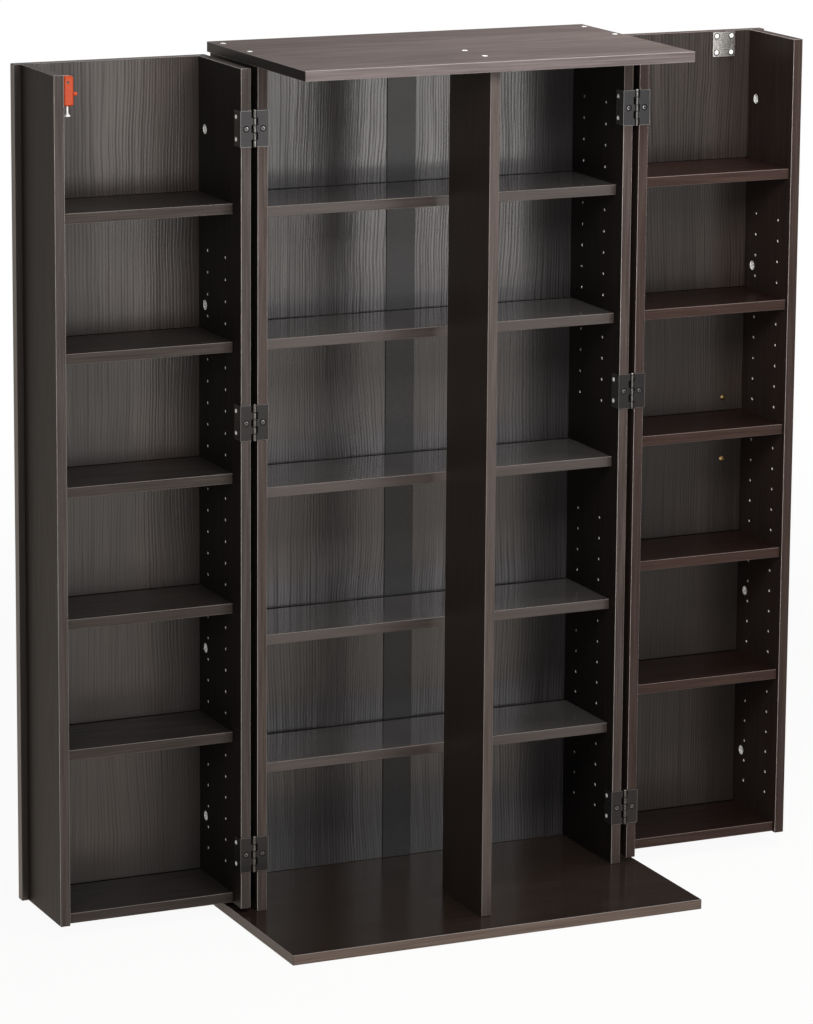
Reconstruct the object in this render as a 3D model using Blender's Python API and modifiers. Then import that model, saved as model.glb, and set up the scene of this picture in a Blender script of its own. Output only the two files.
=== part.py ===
# Media shelf: a tall cabinet whose two deep doors are shelf boxes of their own.
# Metres, +Z up. The front of the cabinet faces -Y. The origin is the middle of
# the base's underside. The doors stand open at a half turn, beside the cabinet.

import math

import bmesh
import bpy
from mathutils import Matrix, Vector

# Boards and the whole cabinet
board_thickness = 0.015
overall_height = 1.270
carcass_width = 0.594
carcass_depth = 0.180
fit_gap = 0.0003
edge_round = 0.0007
cut_overrun = 0.002
weld_reach = 0.00005

# Top and base
top_side_overhang = 0.005
top_front_lip = 0.0006
base_side_overhang = 0.0305
base_front_overhang = 0.025

# Centre post, which stands between the two closed doors
post_depth = 0.136
post_setback = 0.017

# Back panels and the strip that joins them
back_thickness = 0.005
back_rear_margin = 0.0085
back_groove_depth = 0.005
strip_width = 0.046
strip_flange = 0.0015
strip_web = 0.006

# Doors
door_width = 0.285
door_inner_depth = 0.161
door_panel_overhang = 0.010
door_top_clearance = 0.0025
door_base_clearance = 0.007
free_wall_setback = 0.024
door_shelf_setback = 0.030
door_bottom_raise = 0.0015
fixed_shelf_drop = 0.1953

# Shelves on pins
carcass_shelf_setback = 0.0195
shelf_side_clearance = 0.0005
hole_pitch = 0.032
hole_radius = 0.0025
hole_depth = 0.010
pin_clearance = 0.0004
pin_length = 0.008
pin_rise = 0.004
pin_embed = 0.009
hole_sides = 5
carcass_hole_inset = 0.038
carcass_first_hole = 0.078
carcass_hole_rows = 15
carcass_shelf_rows = (10, 4)
door_hole_front_inset = 0.0295
door_hole_rear_inset = 0.0335
door_first_hole = 0.0402
door_hole_rows = 29
door_shelf_rows = (24, 18, 12, 6)

# Cam fasteners, which hold each door's walls to its panel
cam_radius = 0.0075
cam_depth = 0.0125
cam_inset = 0.024
cam_spacing = 0.256
cam_count = 5
cam_sides = 10

# Wrap-round hinges
hinge_gap = 0.0105
hinge_running_gap = 0.0002
leaf_height = 0.052
leaf_thickness = 0.0012
flange_depth = 0.022
barrel_radius = 0.0027
barrel_sides = 8
hinge_pin_radius = 0.0012
hinge_pin_clearance = 0.0003
hinge_pin_head_radius = 0.0024
hinge_pin_head_height = 0.001
knuckle_count = 5
knuckle_gap = 0.0003
hinge_end_distance = 0.088
hinge_middle_rise = 0.109

# Slide bolt on the left door
latch_width = 0.0145
latch_depth = 0.016
latch_height = 0.042
latch_top_drop = 0.002
latch_edge_round = 0.002
latch_setback = 0.001
bolt_radius = 0.0018
bolt_clearance = 0.0004
bolt_strike_clearance = 0.0013
bolt_tail = 0.015
bolt_foot_radius = 0.0032
bolt_foot_height = 0.0025
bolt_travel = 0.010
bolt_knob_radius = 0.0028
bolt_knob_stem_radius = 0.0016
bolt_knob_reach = 0.0045
bolt_knob_thickness = 0.0025
bolt_knob_drop = 0.026
bolt_sides = 12

# Rim lock on the right door
lock_plate_size = 0.038
lock_plate_thickness = 0.002
lock_plate_drop = 0.0015
lock_plate_inset = 0.0452
lock_body_size = 0.030
lock_body_depth = 0.008
lock_bolt_width = 0.012
lock_bolt_thickness = 0.005
lock_bolt_length = 0.018
lock_bolt_clearance = 0.0003
lock_bolt_travel = 0.009
lock_cylinder_radius = 0.008
lock_cylinder_rim = 0.0025
lock_cylinder_lip = 0.002
lock_cylinder_clearance = 0.0003
lock_cylinder_sides = 20
keyhole_width = 0.0012
keyhole_height = 0.007
keyhole_depth = 0.003

# Handles
handle_centres = 0.096
handle_inset = 0.0326
handle_reach = 0.027
handle_radius = 0.0045
handle_bend = 0.012
handle_bend_steps = 4
handle_resolution = 2
handle_screw_radius = 0.0022

# Places that follow from the sizes above
half_width = carcass_width / 2
axis_offset = fit_gap + leaf_thickness + hinge_running_gap
door_depth = door_inner_depth + board_thickness
top_reach = axis_offset * 2 + door_depth + top_front_lip
base_depth = carcass_depth + top_reach + base_front_overhang
front = base_depth / 2 - carcass_depth
rear = front + carcass_depth
top_front = front - top_reach
base_front = top_front - base_front_overhang
base_top = board_thickness
top_under = overall_height - board_thickness
axis_x = half_width + hinge_gap / 2
axis_y = front - axis_offset
back_face = rear - back_rear_margin - back_thickness
mid_height = (base_top + top_under) / 2
door_base = base_top + door_base_clearance
door_top = top_under - door_top_clearance
door_mid = (door_base + door_top) / 2
door_floor = door_base + door_bottom_raise + board_thickness
panel_face = front + door_inner_depth
hinge_wall_out = axis_x + hinge_gap / 2
hinge_wall_in = hinge_wall_out + board_thickness
free_wall_out = hinge_wall_out + door_width
free_wall_in = free_wall_out - board_thickness
pin_radius = hole_radius - pin_clearance

PARTS = "media_shelf"
CUTTERS = "cutters"


def clear_scene():
    for item in list(bpy.data.objects):
        bpy.data.objects.remove(item, do_unlink=True)


def make_collections():
    parts = bpy.data.collections.new(PARTS)
    cutters = bpy.data.collections.new(CUTTERS)
    bpy.context.scene.collection.children.link(parts)
    bpy.context.scene.collection.children.link(cutters)
    return parts, cutters


clear_scene()
parts_collection, cutters_collection = make_collections()

# Colour, roughness and metallic value of each kind of surface
LOOKS = {
    "board": ((0.022, 0.016, 0.014), 0.32, 0.0),
    "top": ((0.085, 0.070, 0.062), 0.38, 0.0),
    "back": ((0.040, 0.038, 0.037), 0.45, 0.0),
    "strip": ((0.020, 0.018, 0.018), 0.50, 0.0),
    "hinge": ((0.045, 0.047, 0.047), 0.40, 0.9),
    "steel": ((0.60, 0.60, 0.58), 0.30, 1.0),
    "latch": ((0.60, 0.085, 0.025), 0.40, 0.0),
    "plate": ((0.55, 0.55, 0.53), 0.35, 1.0),
    "bronze": ((0.14, 0.11, 0.08), 0.35, 1.0),
}


def give_look(obj, look):
    colour, roughness, metallic = LOOKS[look]
    material = bpy.data.materials.new(obj.name + "_finish")
    material.use_nodes = True
    shader = material.node_tree.nodes["Principled BSDF"]
    shader.inputs["Base Color"].default_value = (*colour, 1.0)
    shader.inputs["Roughness"].default_value = roughness
    shader.inputs["Metallic"].default_value = metallic
    obj.data.materials.append(material)


def hide(obj):
    obj.hide_render = True
    obj.display_type = "WIRE"


def add_mesh(name, bm, place, look=None):
    mesh = bpy.data.meshes.new(name)
    bm.to_mesh(mesh)
    bm.free()
    obj = bpy.data.objects.new(name, mesh)
    obj.location = place
    if look:
        parts_collection.objects.link(obj)
        give_look(obj, look)
    else:
        cutters_collection.objects.link(obj)
        hide(obj)
    return obj


def box_into(bm, low, high):
    size = Vector(high) - Vector(low)
    middle = (Vector(high) + Vector(low)) / 2
    matrix = Matrix.Translation(middle) @ Matrix.Diagonal((*size, 1))
    bmesh.ops.create_cube(bm, size=1, matrix=matrix)


def rod_into(bm, start, along, length, radius, sides):
    # The rod's flat ends square to one of the three main axes
    direction = Vector(along)
    turn = Vector((0, 0, 1)).rotation_difference(direction).to_matrix().to_4x4()
    middle = Vector(start) + direction * length / 2
    bmesh.ops.create_cone(
        bm,
        cap_ends=True,
        segments=sides,
        radius1=radius,
        radius2=radius,
        depth=length,
        matrix=Matrix.Translation(middle) @ turn,
    )


def add_bevel(obj, width):
    bevel = obj.modifiers.new("rounded edges", "BEVEL")
    bevel.width = width
    bevel.segments = 1
    bevel.limit_method = "NONE"


def add_board(name, low, high, look="board", rounding=edge_round):
    # A board keeps its origin in its middle
    middle = (Vector(high) + Vector(low)) / 2
    bm = bmesh.new()
    box_into(bm, Vector(low) - middle, Vector(high) - middle)
    obj = add_mesh(name, bm, middle, look)
    add_bevel(obj, rounding)
    return obj


def combine(obj, other, operation):
    modifier = obj.modifiers.new(other.name, "BOOLEAN")
    modifier.operation = operation
    modifier.object = other
    modifier.solver = "EXACT"


def cut(obj, other):
    combine(obj, other, "DIFFERENCE")


def join(obj, other):
    combine(obj, other, "UNION")


def shade_round(obj):
    obj.data.shade_smooth()
    obj.data.set_sharp_from_angle(angle=math.radians(35))


def hang_on(obj, parent):
    # Keeps its place in the world while it follows the parent
    obj.location = Vector(obj.location) - Vector(parent.location)
    obj.parent = parent


def span(side, near, far):
    # X from near to far on one side of the cabinet, lowest first
    return sorted((side * near, side * far))


def side_box(side, near, far, y_low, y_high, z_low, z_high):
    x_low, x_high = span(side, near, far)
    return (x_low, y_low, z_low), (x_high, y_high, z_high)


# Rows of pin holes

def hole_cutter(name, face_x, into, columns, heights):
    # The holes run from just outside the wall's face to hole_depth inside it
    bm = bmesh.new()
    for y in columns:
        for z in heights:
            start = (face_x - into * cut_overrun, y, z)
            length = hole_depth + cut_overrun
            rod_into(bm, start, (into, 0, 0), length, hole_radius, hole_sides)
    return add_mesh(name, bm, (0, 0, 0))


def row_heights(first, count):
    return [first + hole_pitch * row for row in range(count)]


carcass_columns = (
    front + carcass_shelf_setback + carcass_hole_inset,
    back_face - carcass_hole_inset,
)
door_columns = (
    front + door_shelf_setback + door_hole_front_inset,
    panel_face - door_hole_rear_inset,
)
middle_shelf_top = mid_height + board_thickness / 2
lower_first = base_top + carcass_first_hole
upper_first = middle_shelf_top + carcass_first_hole
carcass_heights = row_heights(lower_first, carcass_hole_rows)
carcass_heights += row_heights(upper_first, carcass_hole_rows)
door_first = door_floor + door_first_hole
door_heights = row_heights(door_first, door_hole_rows)


def add_pin_shelf(name, x_low, x_high, y_low, y_high, hole_z, columns):
    # The pins lie in the shelf's ends, so that its underside hides them
    under = hole_z - pin_rise
    low = (x_low + shelf_side_clearance, y_low, under)
    high = (x_high - shelf_side_clearance, y_high, under + board_thickness)
    shelf = add_board(name, low, high)
    bm = bmesh.new()
    length = pin_embed + pin_length
    for y in columns:
        rod_into(bm, (low[0] + pin_embed, y, hole_z), (-1, 0, 0), length, pin_radius, hole_sides)
        rod_into(bm, (high[0] - pin_embed, y, hole_z), (1, 0, 0), length, pin_radius, hole_sides)
    pins = add_mesh(name + "_pins", bm, (0, 0, 0))
    join(shelf, pins)
    return shelf


# Base, top, sides and centre post

def strike_holes():
    # Holes in the top's underside for the slide bolt and the lock's bolt
    bm = bmesh.new()
    shut_y = axis_y * 2
    reach = bolt_travel + cut_overrun - latch_top_drop
    strike_radius = bolt_radius + bolt_strike_clearance
    bolt_x = axis_x * 2 - bolt_place.x
    start = (-bolt_x, shut_y - bolt_place.y, top_under - cut_overrun)
    rod_into(bm, start, (0, 0, 1), reach + cut_overrun, strike_radius, bolt_sides)
    lock_x = axis_x * 2 - lock_x_centre
    slack = lock_bolt_clearance * 2
    half = lock_bolt_width / 2 + slack
    y = shut_y - lock_bolt_y
    half_y = lock_bolt_thickness / 2 + slack
    low = (lock_x - half, y - half_y, top_under - cut_overrun)
    high = (lock_x + half, y + half_y, top_under + lock_bolt_travel)
    box_into(bm, low, high)
    return add_mesh("strike_holes", bm, (0, 0, 0))


latch_front = front + free_wall_setback + latch_setback
latch_near = free_wall_in - fit_gap
latch_far = latch_near - latch_width
latch_top = door_top - latch_top_drop
bolt_place = Vector(((latch_near + latch_far) / 2, latch_front + latch_depth / 2, latch_top))
lock_x_centre = free_wall_in - lock_plate_inset
lock_plate_top = door_top - lock_plate_drop
lock_z_centre = lock_plate_top - lock_plate_size / 2
lock_bolt_y = panel_face + fit_gap + lock_body_depth / 2

top_half = half_width + top_side_overhang
base_half = half_width + base_side_overhang
top_panel = add_board(
    "top_panel", (-top_half, top_front, top_under), (top_half, rear, overall_height), "top"
)
cut(top_panel, strike_holes())
add_board("base_panel", (-base_half, base_front, 0), (base_half, rear, base_top))


def add_side(name, side):
    low, high = side_box(
        side, half_width - board_thickness, half_width, front, rear, base_top + fit_gap, top_under - fit_gap
    )
    wall = add_board(name, low, high)
    inner = side * (half_width - board_thickness)
    cut(wall, hole_cutter(name + "_holes", inner, side, carcass_columns, carcass_heights))
    bm = bmesh.new()
    near = half_width - board_thickness - cut_overrun
    far = half_width - board_thickness + back_groove_depth + fit_gap
    groove_front = back_face - fit_gap
    groove_rear = back_face + back_thickness + fit_gap
    z_low = base_top - cut_overrun
    z_high = top_under + cut_overrun
    box_into(bm, *side_box(side, near, far, groove_front, groove_rear, z_low, z_high))
    cut(wall, add_mesh(name + "_groove", bm, (0, 0, 0)))
    return wall


add_side("left_side", -1)
add_side("right_side", 1)
post_low = (-board_thickness / 2, front - post_setback - post_depth, base_top + fit_gap)
post_high = (board_thickness / 2, front - post_setback, top_under - fit_gap)
add_board("centre_post", post_low, post_high)

# Back panels, held by the side grooves and by the strip between them


def add_back(name, side):
    near = strip_web / 2 + fit_gap
    far = half_width - board_thickness + back_groove_depth
    low, high = side_box(
        side, near, far, back_face, back_face + back_thickness, base_top + fit_gap, top_under - fit_gap
    )
    return add_board(name, low, high, "back", edge_round / 2)


def add_joint_strip():
    # An H section, with a panel's edge in each of its two slots
    slot = back_thickness + fit_gap * 2
    flange_front = back_face - fit_gap - strip_flange
    flange_rear = flange_front + strip_flange * 2 + slot
    low = (-strip_width / 2, flange_front, base_top + fit_gap)
    high = (strip_width / 2, flange_rear, top_under - fit_gap)
    strip = add_board("back_joint_strip", low, high, "strip", edge_round / 2)
    bm = bmesh.new()
    y_low = flange_front + strip_flange
    far = strip_width / 2 + cut_overrun
    z_low = base_top - cut_overrun
    z_high = top_under + cut_overrun
    for side in (-1, 1):
        box_into(bm, *side_box(side, strip_web / 2, far, y_low, y_low + slot, z_low, z_high))
    cut(strip, add_mesh("back_joint_strip_slots", bm, (0, 0, 0)))
    return flange_front


add_back("back_panel_left", -1)
add_back("back_panel_right", 1)
strip_front = add_joint_strip()

# Cabinet shelves: the middle one is fixed, two stand on pins above and below it

shelf_front = front + carcass_shelf_setback
shelf_rear = strip_front - fit_gap
inner_half = half_width - board_thickness


def add_carcass_shelves():
    upper = [upper_first + hole_pitch * row for row in carcass_shelf_rows]
    lower = [lower_first + hole_pitch * row for row in carcass_shelf_rows]
    names = ("carcass_shelf_1", "carcass_shelf_2", "carcass_shelf_4", "carcass_shelf_5")
    for name, hole_z in zip(names, upper + lower):
        add_pin_shelf(name, -inner_half, inner_half, shelf_front, shelf_rear, hole_z, carcass_columns)
    low = (-inner_half + fit_gap, shelf_front, middle_shelf_top - board_thickness)
    high = (inner_half - fit_gap, shelf_rear, middle_shelf_top)
    add_board("carcass_shelf_3", low, high)


add_carcass_shelves()

# Doors


def add_axis(name, side):
    empty = bpy.data.objects.new(name, None)
    empty.location = (side * axis_x, axis_y, 0)
    parts_collection.objects.link(empty)
    return empty


def cam_cutter(name, face_x, into):
    bm = bmesh.new()
    y = panel_face - cam_inset
    lowest = door_mid - cam_spacing * (cam_count - 1) / 2
    for index in range(cam_count):
        start = (face_x - into * cut_overrun, y, lowest + cam_spacing * index)
        rod_into(bm, start, (into, 0, 0), cam_depth + cut_overrun, cam_radius, cam_sides)
    return add_mesh(name, bm, (0, 0, 0))


def add_door_wall(name, side, near, far, inner, into, setback):
    low, high = side_box(side, near, far, front + setback, panel_face - fit_gap, door_base, door_top)
    wall = add_board(name, low, high)
    cut(wall, hole_cutter(name + "_holes", side * inner, side * into, door_columns, door_heights))
    cut(wall, cam_cutter(name + "_cams", side * inner, side * into))
    return wall


def handle_screw_cutter(name, side):
    bm = bmesh.new()
    for level in (-1, 1):
        z = door_mid + level * handle_centres / 2
        start = (side * (free_wall_in - handle_inset), panel_face - cut_overrun, z)
        rod_into(bm, start, (0, 1, 0), board_thickness + cut_overrun * 2, handle_screw_radius, hole_sides)
    return add_mesh(name, bm, (0, 0, 0))


def add_door(label, side):
    axis = add_axis(label + "_axis", side)
    edge = free_wall_out + door_panel_overhang
    outer = front + door_depth
    low, high = side_box(side, hinge_wall_out, edge, panel_face, outer, door_base, door_top)
    panel = add_board(label + "_panel", low, high)
    cut(panel, handle_screw_cutter(label + "_panel_screw_holes", side))
    hinge_wall = add_door_wall(
        label + "_hinge_wall", side, hinge_wall_out, hinge_wall_in, hinge_wall_in, -1, 0
    )
    free_wall = add_door_wall(
        label + "_free_wall", side, free_wall_in, free_wall_out, free_wall_in, 1, free_wall_setback
    )
    y_low = front + door_shelf_setback
    y_high = panel_face - fit_gap
    near = hinge_wall_in + fit_gap
    far = free_wall_in - fit_gap
    floor_under = door_floor - board_thickness
    low, high = side_box(side, near, far, y_low, y_high, floor_under, door_floor)
    floor = add_board(label + "_bottom", low, high)
    fixed_top = door_top - fixed_shelf_drop
    fixed_under = fixed_top - board_thickness
    low, high = side_box(side, near, far, y_low, y_high, fixed_under, fixed_top)
    fixed = add_board(label + "_fixed_shelf", low, high)
    pieces = [panel, hinge_wall, free_wall, floor, fixed]
    x_low, x_high = span(side, hinge_wall_in, free_wall_in)
    for number, row in enumerate(door_shelf_rows):
        hole_z = door_first + hole_pitch * row
        name = label + "_shelf_" + str(number + 1)
        pieces.append(add_pin_shelf(name, x_low, x_high, y_low, y_high, hole_z, door_columns))
    for piece in pieces:
        hang_on(piece, axis)
    return axis, panel


left_axis, left_panel = add_door("left_door", -1)
right_axis, right_panel = add_door("right_door", 1)

# Hinges: a plate on the board's front edge, a flange on its inner face, and knuckles


def knuckle_span(z_middle, index):
    length = leaf_height / knuckle_count
    low = z_middle - leaf_height / 2 + length * index
    return low + knuckle_gap / 2, low + length - knuckle_gap / 2


def add_leaf(name, axis_at, toward, z_middle, owned):
    z_low = z_middle - leaf_height / 2
    z_high = z_middle + leaf_height / 2
    edge = axis_at + toward * hinge_gap / 2
    face = edge + toward * board_thickness
    flange_in = face + toward * fit_gap
    flange_out = flange_in + toward * leaf_thickness
    y_out = front - fit_gap - leaf_thickness
    y_in = front - fit_gap
    bm = bmesh.new()
    xs = sorted((edge, flange_out))
    box_into(bm, (xs[0], y_out, z_low), (xs[1], y_in, z_high))
    leaf = add_mesh(name, bm, (0, 0, 0), "hinge")
    bm = bmesh.new()
    xs = sorted((flange_in, flange_out))
    box_into(bm, (xs[0], y_in - leaf_thickness / 2, z_low), (xs[1], front + flange_depth, z_high))
    join(leaf, add_mesh(name + "_flange", bm, (0, 0, 0)))
    tabs = bmesh.new()
    knuckles = bmesh.new()
    xs = sorted((axis_at, edge + toward * leaf_thickness))
    for index in owned:
        low, high = knuckle_span(z_middle, index)
        box_into(tabs, (xs[0], y_out, low), (xs[1], y_in, high))
        rod_into(knuckles, (axis_at, axis_y, low), (0, 0, 1), high - low, barrel_radius, barrel_sides)
    join(leaf, add_mesh(name + "_tabs", tabs, (0, 0, 0)))
    join(leaf, add_mesh(name + "_knuckles", knuckles, (0, 0, 0)))
    bore = bmesh.new()
    bore_radius = hinge_pin_radius + hinge_pin_clearance
    start = (axis_at, axis_y, z_low - cut_overrun)
    rod_into(bore, start, (0, 0, 1), leaf_height + cut_overrun * 2, bore_radius, barrel_sides)
    cut(leaf, add_mesh(name + "_bore", bore, (0, 0, 0)))
    return leaf


def add_turned(name, profile, place, sides, look, turn=(0, 0, 0)):
    # The profile runs from the top to the bottom, as radius and height
    bm = bmesh.new()
    last = None
    for radius, height in profile:
        vertex = bm.verts.new((radius, 0, height))
        if last:
            bm.edges.new((last, vertex))
        last = vertex
    obj = add_mesh(name, bm, place, look)
    obj.rotation_euler = turn
    screw = obj.modifiers.new("turned", "SCREW")
    screw.steps = sides
    screw.render_steps = sides
    screw.use_merge_vertices = True
    screw.merge_threshold = weld_reach
    return obj


def add_hinge_pin(name, axis_at, z_middle):
    half = leaf_height / 2
    seat = half + hinge_pin_clearance
    profile = (
        (0, seat + hinge_pin_head_height),
        (hinge_pin_head_radius, seat + hinge_pin_head_height),
        (hinge_pin_head_radius, seat),
        (hinge_pin_radius, seat),
        (hinge_pin_radius, -half),
        (0, -half),
    )
    return add_turned(name, profile, (axis_at, axis_y, z_middle), barrel_sides, "hinge")


hinge_levels = {
    "top": top_under - hinge_end_distance,
    "middle": mid_height + hinge_middle_rise,
    "bottom": base_top + hinge_end_distance,
}


def add_hinges(label, side, axis):
    cabinet_knuckles = range(0, knuckle_count, 2)
    door_knuckles = range(1, knuckle_count, 2)
    for level, z in hinge_levels.items():
        stem = label + "_" + level + "_hinge"
        add_leaf(stem + "_cabinet_leaf", side * axis_x, -side, z, cabinet_knuckles)
        leaf = add_leaf(stem + "_door_leaf", side * axis_x, side, z, door_knuckles)
        hang_on(leaf, axis)
        add_hinge_pin(stem + "_pin", side * axis_x, z)


add_hinges("left", -1, left_axis)
add_hinges("right", 1, right_axis)

# Slide bolt, in the front top corner of the left door

def add_latch():
    latch_rear = latch_front + latch_depth
    latch_under = latch_top - latch_height
    low, high = side_box(-1, latch_far, latch_near, latch_front, latch_rear, latch_under, latch_top)
    body = add_board("latch_body", low, high, "latch", latch_edge_round)
    body_middle = Vector(body.location)
    bm = bmesh.new()
    start = (-bolt_place.x, bolt_place.y, low[2] - cut_overrun)
    rod_into(bm, start, (0, 0, 1), latch_height + cut_overrun * 2, bolt_radius + bolt_clearance, bolt_sides)
    cut(body, add_mesh("latch_body_bore", bm, (0, 0, 0)))
    bm = bmesh.new()
    slack = bolt_knob_stem_radius + bolt_clearance
    knob_z = latch_top - bolt_knob_drop
    slot_low = (body_middle.x, bolt_place.y - slack, knob_z - slack)
    slot_high = (high[0] + cut_overrun, bolt_place.y + slack, knob_z + bolt_travel + slack)
    box_into(bm, slot_low, slot_high)
    cut(body, add_mesh("latch_body_slot", bm, (0, 0, 0)))
    hang_on(body, left_axis)
    return high[0]


def add_latch_bolt(outer_x):
    bottom = -latch_height - bolt_tail
    profile = (
        (0, 0),
        (bolt_radius, 0),
        (bolt_radius, bottom + bolt_foot_height * 2),
        (bolt_foot_radius, bottom + bolt_foot_height),
        (bolt_foot_radius, bottom),
        (0, bottom),
    )
    place = (-bolt_place.x, bolt_place.y, latch_top)
    bolt = add_turned("latch_bolt", profile, place, bolt_sides, "steel")
    z = latch_top - bolt_knob_drop
    bm = bmesh.new()
    length = outer_x + bolt_knob_reach - place[0]
    rod_into(bm, (place[0], place[1], z), (1, 0, 0), length, bolt_knob_stem_radius, bolt_sides)
    join(bolt, add_mesh("latch_bolt_stem", bm, (0, 0, 0)))
    bm = bmesh.new()
    knob_x = outer_x + bolt_knob_reach - bolt_knob_thickness
    rod_into(bm, (knob_x, place[1], z), (1, 0, 0), bolt_knob_thickness * 2, bolt_knob_radius, bolt_sides)
    join(bolt, add_mesh("latch_bolt_knob", bm, (0, 0, 0)))
    hang_on(bolt, left_axis)


add_latch_bolt(add_latch())

# Rim lock, let into the top of the right door's panel


def add_lock():
    half = lock_plate_size / 2
    plate_low = (lock_x_centre - half, panel_face - fit_gap - lock_plate_thickness, lock_z_centre - half)
    plate_high = (lock_x_centre + half, panel_face - fit_gap, lock_z_centre + half)
    case = add_board("lock_case", plate_low, plate_high, "plate", edge_round / 2)
    half = lock_body_size / 2
    body_high = panel_face + fit_gap + lock_body_depth
    bm = bmesh.new()
    low = (lock_x_centre - half, plate_high[1] - lock_plate_thickness / 2, lock_z_centre - half)
    box_into(bm, low, (lock_x_centre + half, body_high, lock_z_centre + half))
    join(case, add_mesh("lock_case_body", bm, (0, 0, 0)))
    bm = bmesh.new()
    half_x = lock_bolt_width / 2 + lock_bolt_clearance
    half_y = lock_bolt_thickness / 2 + lock_bolt_clearance
    channel_low = lock_plate_top - lock_bolt_length - lock_bolt_clearance
    low = (lock_x_centre - half_x, lock_bolt_y - half_y, channel_low)
    box_into(bm, low, (lock_x_centre + half_x, lock_bolt_y + half_y, door_top))
    cut(case, add_mesh("lock_case_channel", bm, (0, 0, 0)))
    hang_on(case, right_axis)
    return body_high, half_x, half_y


def cut_lock_pocket(body_high, half_x, half_y):
    bm = bmesh.new()
    half = lock_body_size / 2 + fit_gap
    low = (lock_x_centre - half, panel_face - cut_overrun, lock_z_centre - half)
    box_into(bm, low, (lock_x_centre + half, body_high + fit_gap, lock_z_centre + half))
    cut(right_panel, add_mesh("lock_pocket", bm, (0, 0, 0)))
    bm = bmesh.new()
    low = (lock_x_centre - half_x, lock_bolt_y - half_y, lock_z_centre)
    box_into(bm, low, (lock_x_centre + half_x, lock_bolt_y + half_y, door_top + cut_overrun))
    cut(right_panel, add_mesh("lock_bolt_way", bm, (0, 0, 0)))
    bm = bmesh.new()
    start = (lock_x_centre, body_high - cut_overrun, lock_z_centre)
    radius = lock_cylinder_radius + lock_cylinder_clearance
    rod_into(bm, start, (0, 1, 0), board_thickness, radius, lock_cylinder_sides)
    cut(right_panel, add_mesh("lock_cylinder_bore", bm, (0, 0, 0)))


def add_lock_bolt():
    half_x = lock_bolt_width / 2
    half_y = lock_bolt_thickness / 2
    low = (lock_x_centre - half_x, lock_bolt_y - half_y, lock_plate_top - lock_bolt_length)
    high = (lock_x_centre + half_x, lock_bolt_y + half_y, lock_plate_top)
    bolt = add_board("lock_bolt", low, high, "steel", edge_round / 2)
    hang_on(bolt, right_axis)


def add_lock_cylinder(body_high):
    outer = front + door_depth
    inner = body_high + fit_gap
    rim = lock_cylinder_radius + lock_cylinder_rim
    length = outer + fit_gap - inner
    profile = (
        (0, length + lock_cylinder_lip),
        (lock_cylinder_radius, length + lock_cylinder_lip),
        (rim, length + lock_cylinder_lip / 2),
        (rim, length),
        (lock_cylinder_radius, length),
        (lock_cylinder_radius, 0),
        (0, 0),
    )
    place = (lock_x_centre, inner, lock_z_centre)
    turn = (-math.radians(90), 0, 0)
    cylinder = add_turned("lock_cylinder", profile, place, lock_cylinder_sides, "steel", turn)
    bm = bmesh.new()
    face = outer + fit_gap + lock_cylinder_lip
    low = (lock_x_centre - keyhole_width / 2, face - keyhole_depth, lock_z_centre - keyhole_height / 2)
    high = (lock_x_centre + keyhole_width / 2, face + cut_overrun, lock_z_centre + keyhole_height / 2)
    box_into(bm, low, high)
    cut(cylinder, add_mesh("lock_keyhole", bm, (0, 0, 0)))
    hang_on(cylinder, right_axis)


lock_sizes = add_lock()
cut_lock_pocket(*lock_sizes)
add_lock_bolt()
add_lock_cylinder(lock_sizes[0])

# Handles: a round bar bent to two feet on the door's outer face


def handle_points():
    # Reach from the door along Y, height along Z, with a quarter turn at each end
    half = handle_centres / 2
    turns = range(handle_bend_steps + 1)
    angles = [math.radians(90) * step / handle_bend_steps for step in turns]
    corner = half - handle_bend
    bow = handle_reach - handle_bend
    lower = [(bow + handle_bend * math.sin(a), -corner - handle_bend * math.cos(a)) for a in angles]
    upper = [(reach, -height) for reach, height in reversed(lower)]
    return [(0, -half)] + lower + upper + [(0, half)]


def add_handle(label, side, axis):
    curve = bpy.data.curves.new(label + "_handle", "CURVE")
    curve.dimensions = "3D"
    curve.bevel_depth = handle_radius
    curve.bevel_resolution = handle_resolution
    curve.use_fill_caps = True
    points = handle_points()
    spline = curve.splines.new("POLY")
    spline.points.add(len(points) - 1)
    for point, (reach, height) in zip(spline.points, points):
        point.co = (0, reach, height, 1)
    handle = bpy.data.objects.new(label + "_handle", curve)
    parts_collection.objects.link(handle)
    handle.location = (side * (free_wall_in - handle_inset), front + door_depth + fit_gap, door_mid)
    give_look(handle, "bronze")
    weld = handle.modifiers.new("closed caps", "WELD")
    weld.merge_threshold = weld_reach
    hang_on(handle, axis)


add_handle("left_door", -1, left_axis)
add_handle("right_door", 1, right_axis)

# Round pieces are shaded smooth

for item in parts_collection.objects:
    if item.type == "MESH" and item.name.endswith(("_leaf", "_pin", "latch_bolt", "lock_cylinder")):
        shade_round(item)
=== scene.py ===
import math
from collections import namedtuple

import bmesh
import bpy
from mathutils import Matrix, Vector


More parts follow.
